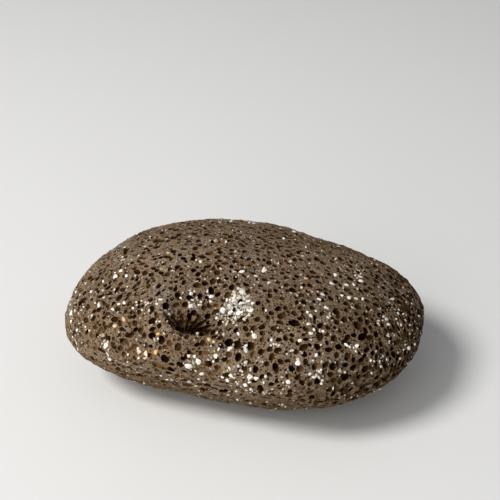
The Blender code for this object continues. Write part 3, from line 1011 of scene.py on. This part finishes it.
# Noise: size, detail, roughness. Span: where it starts and ends, and at times the values there.
FINE_NOISE = (0.00060, 3, 0.65)
FINE_SPAN = (0.32, 0.68)
PORE_SPAN = (0.42, 0.0, 0.0, 0.85)
SPECK_SIZE = 0.0012
SPECK_SPAN = (0.28, 0.12)
# Where the right flank's painted shade lies, and the noise that breaks it into patches.
FLANK_SHADE_NOISE = (0.0024, 4, 0.65)
FLANK_SHADE_NOISE_SPAN = (0.42, 0.57, 1.0, 0.10)
FLANK_LEAN = 0.95
FLANK_SHADE_SPAN = (-0.010, 0.024)
LOW_SPAN = (0.021, 0.004, 0.0, 0.68)
BROWN_SPAN = (0.0, 0.5)
PALE_SPAN = (0.4, 1.0)
# Depths at which the pit walls begin, and at which the painted shade of their bottoms comes in.
WALL_SPAN = (0.00005, 0.00040)
DEEP_SPAN = (0.0010, 0.0020)
PALE_COVER = 0.80
# How much painted shade the pit walls of the right flank get.
FLANK_PIT_SHADE_COVER = 0.85
# How much painted shade the foot of the hollow gets.
FOOT_SHADE_COVER = 0.95
SPECK_RELIEF = -1.4
RELIEF = {"Strength": 0.9, "Distance": 0.00025}

CRYSTAL_PATCHES = (
    (0.0019, 2, 0.5, 0.50, 0.62, 0.55, (0.86, 0.74, 0.54)),  # cream
    (0.0023, 3, 0.5, 0.50, 0.66, 0.45, (0.44, 0.43, 0.40)),  # cloudy
    (0.0004, 2, 0.5, 0.50, 0.80, 0.30, (0.50, 0.43, 0.34)),  # dull
)
AMBER_PATCHES = ((0.0004, 2, 0.5, 0.45, 0.80, 0.50, (0.80, 0.62, 0.42)),)
CRYSTAL_ROUGHNESS = 0.35


def basalt_material():
    """Worn taupe basalt, browner inside its bubbles, with painted shade in its pits, in its hollow's
    foot, on its right flank and partly low down.
    """
    shader = Shader("basalt")
    place = shader.node("SeparateXYZ", Vector=shader.coords).outputs
    # Painted shade on the right flank, turned away from the key light; mottle breaks it into patches.
    flank = shader.ranged(shader.times(place["Z"], -FLANK_LEAN, place["X"]), *FLANK_SHADE_SPAN)
    mottle = shader.ranged(shader.noise(*FLANK_SHADE_NOISE), *FLANK_SHADE_NOISE_SPAN)
    fine = shader.ranged(shader.noise(*FINE_NOISE), *FINE_SPAN)
    cells = shader.node("TexVoronoi", Vector=shader.coords, Scale=1 / SPECK_SIZE)
    specks = shader.ranged(cells.outputs["Distance"], *SPECK_SPAN)
    depth, tone_and_shade = shader.value("depth"), shader.value("tone_and_shade")
    # Pit walls: brown tones of their own, darkening to painted shade where the value is low.
    wall = shader.mix(shader.ranged(tone_and_shade, *BROWN_SPAN), PAINTED_WALL_SHADE, BROWN_WALL)
    wall = shader.mix(shader.ranged(tone_and_shade, *PALE_SPAN), wall, PALE_WALL)
    # Painted shade on the pit walls of the right flank.
    wall = shader.mix(shader.times(flank, FLANK_PIT_SHADE_COVER), wall, FLANK_PIT_SHADE)
    colour = shader.patches(SKIN_COLOUR, SKIN_PATCHES)
    for share, over in (
        (shader.times(shader.value("pale"), PALE_COVER), PALE_GROUND),
        # Painted shade of tiny pores.
        (shader.ranged(fine, *PORE_SPAN), PORE_SHADE),
        # Painted shade in the sunken specks.
        (specks, SPECK_SHADE),
        # Painted shade over the right flank, in patches.
        (shader.times(flank, mottle), FLANK_PAINTED_SHADE),
        # Darker and more olive towards the bottom: partly own tone, partly painted shade.
        (shader.ranged(place["Z"], *LOW_SPAN), LOW_TONE_AND_SHADE),
        # Pit walls below the rim, with their painted shade.
        (shader.ranged(depth, *WALL_SPAN), wall),
        # Painted shade at the bottoms of deep pits.
        (shader.ranged(depth, *DEEP_SPAN), DEEP_PIT_SHADE),
        # Painted shade in the foot of the hollow, behind its lip.
        (shader.times(shader.value("foot"), FOOT_SHADE_COVER), FOOT_PAINTED_SHADE),
    ):
        colour = shader.mix(share, colour, over)
    shader.surface.inputs["Specular IOR Level"].default_value = 0.04
    bump = shader.node("Bump", Height=shader.times(specks, SPECK_RELIEF, fine), **RELIEF)
    shader.link(bump.outputs["Normal"], shader.surface.inputs["Normal"])
    return shader.finish(colour, 0.92)


def white_material():
    """Chalky to glassy pale crystal."""
    shader = Shader("pale_crystal")
    shade = shader.value("shade")
    colour = shader.mix(shader.ranged(shade, 0.0, 0.45), (0.34, 0.28, 0.20), (0.56, 0.54, 0.49))
    colour = shader.mix(shader.ranged(shade, 0.35, 0.90), colour, (0.97, 0.95, 0.90))
    return shader.finish(shader.patches(colour, CRYSTAL_PATCHES), CRYSTAL_ROUGHNESS)


def amber_material():
    """Cream to amber crystal."""
    shader = Shader("amber_crystal")
    colour = shader.mix(shader.value("shade"), (0.80, 0.66, 0.45), (0.72, 0.36, 0.11))
    return shader.finish(shader.patches(colour, AMBER_PATCHES), CRYSTAL_ROUGHNESS)


def floor_material():
    """Pale matt ground."""
    shader = Shader("floor")
    mottle = shader.noise(0.05, 3, 0.5)
    return shader.finish(shader.mix(mottle, (0.79, 0.79, 0.785), (0.81, 0.81, 0.805)), 0.8)


# ---- floor and light

FLOOR_HALF = 12
# Round soft lights: name, direction from the stone, distance, size, watts.
LIGHTS = (
    ("key", (-17, -13, 26), 1.2, 0.44, 11.5),
    ("front", (-14, -30, 14), 2, 2, 16),
)
LIGHT_COLOUR = (1.0, 0.985, 0.96)
FILL_COLOUR = (0.97, 0.985, 1.0, 1)
FILL_STRENGTH = 0.27


def make_floor():
    """A large pale plane under the stone."""
    corners = FLOOR_HALF * np.array([[-1.0, -1, 0], [1, -1, 0], [1, 1, 0], [-1, 1, 0]])
    floor = mesh_from_arrays("floor", corners, np.array([[0, 1, 2, 3]]))
    floor.data.materials.append(floor_material())
    return floor


def make_lights():
    """A soft key light from the upper left front, a broad one from the front, an even pale fill."""
    for name, towards, distance, size, watts in LIGHTS:
        data = bpy.data.lights.new(name, "AREA")
        data.shape = "DISK"
        data.size = size
        data.energy = watts
        data.color = LIGHT_COLOUR
        light = new_object(name, data)
        away = Vector(towards).normalized()
        light.location = away * distance + Vector((0, 0, HEIGHT / 2))
        light.rotation_euler = away.to_track_quat("Z", "Y").to_euler()
    world = bpy.data.worlds.new("fill")
    world.use_nodes = True
    background = world.node_tree.nodes["Background"]
    background.inputs["Color"].default_value = FILL_COLOUR
    background.inputs["Strength"].default_value = FILL_STRENGTH
    bpy.context.scene.world = world


# ---- putting it together

RIM_ANGLE = 48
RIPPLE_COUNT = 24
RIPPLE_LENGTH = 0.0030
RIPPLE_SPREAD = (0.6, 1.6)
RIPPLE_HEIGHT = 0.00017
RIPPLE_SEED = 8
# Painted shade on the walls of pits that face up.
TOP_PIT_SHADE = 0.70
# How far the painted shade of the hollow's foot reaches, for each pixel of its width.
FOOT_REACH = 0.00026
PALE_PATCH = (238, 306)
PALE_REACH = 0.0038
PALE_EDGE = 4


def ripples(points):
    """Height of the small unevenness of the worn skin at each point."""
    rng = np.random.default_rng(RIPPLE_SEED)
    runs = unit(rng.normal(size=(RIPPLE_COUNT, 3)))
    lengths = RIPPLE_LENGTH * rng.uniform(*RIPPLE_SPREAD, RIPPLE_COUNT)
    starts = rng.uniform(0, math.tau, RIPPLE_COUNT)
    phases = points @ (runs / lengths[:, None]).T * math.tau + starts
    return RIPPLE_HEIGHT * np.sin(phases).sum(axis=1) / math.sqrt(RIPPLE_COUNT)


def finish_stone(stone, surface, bubbles):
    """Small unevenness, sharp rims, and on each point the values that the material reads."""
    mesh = stone.data
    points = vertex_array(mesh)
    nearest = [surface.tree.find_nearest(point) for point in points.tolist()]
    outward = np.array([normal[:] for _, normal, _, _ in nearest])
    above_base = np.clip(points[:, 2] / WAVE_START, 0, 1)
    moved = points + outward * (ripples(points) * above_base)[:, None]
    mesh.vertices.foreach_set("co", moved.ravel())
    mesh.update()
    mesh.shade_smooth()
    mesh.set_sharp_from_angle(angle=math.radians(RIM_ANGLE))
    add_values(mesh, "depth", [distance for *_, distance in nearest])
    # Each point gets the wall tone and painted shade of its nearest bubble; pits that face up get more
    # shade.
    rng = np.random.default_rng(BUBBLE_SEED + 1)
    tones_and_shades = rng.uniform(size=len(bubbles.points))
    tones_and_shades *= 1 - TOP_PIT_SHADE * np.clip(np.array(bubbles.normals)[:, 2], 0, 1)
    tones_and_shades = [tone_and_shade if known is None else known for tone_and_shade, known in zip(tones_and_shades, bubbles.tones_and_shades)]
    tree = KDTree(len(bubbles.points))
    for number in range(len(bubbles.points)):
        tree.insert(bubbles.reach(number)[0], number)
    tree.balance()
    add_values(mesh, "tone_and_shade", [tones_and_shades[tree.find(point)[1]] for point in points.tolist()])
    # Painted shade round the foot of the hollow, stored as foot.
    away = [
        np.linalg.norm(points - surface.at_pixel((x, y))[0], axis=1) / (FOOT_REACH * width)
        for x, y, width, _ in CREASE
    ]
    add_values(mesh, "foot", np.exp(-(np.min(away, axis=0) ** 2)))
    from_pale = np.linalg.norm(points - surface.at_pixel(PALE_PATCH)[0], axis=1)
    add_values(mesh, "pale", np.exp(-((from_pale / PALE_REACH) ** PALE_EDGE)))


eye = make_camera()
make_lights()
bpy.context.scene.view_settings.view_transform = "Standard"
stone = make_skin()
surface = Skin(stone.data, eye)
bubbles = place_bubbles(surface)
cut_bubbles(stone, bubbles)
cut_hollow_foot(stone, surface)
finish_stone(stone, surface, bubbles)
stone.data.materials.clear()
stone.data.materials.append(basalt_material())
white_grains, amber_grains = scatter_grains(surface, search_tree(stone.data))
white_grains.data.materials.append(white_material())
amber_grains.data.materials.append(amber_material())
floor = make_floor()

slots = ((stone, "basalt"), (white_grains, "pale_crystal"), (amber_grains, "amber_crystal"))
for piece, slot in slots:
    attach(piece, "root")
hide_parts("lava_rock")
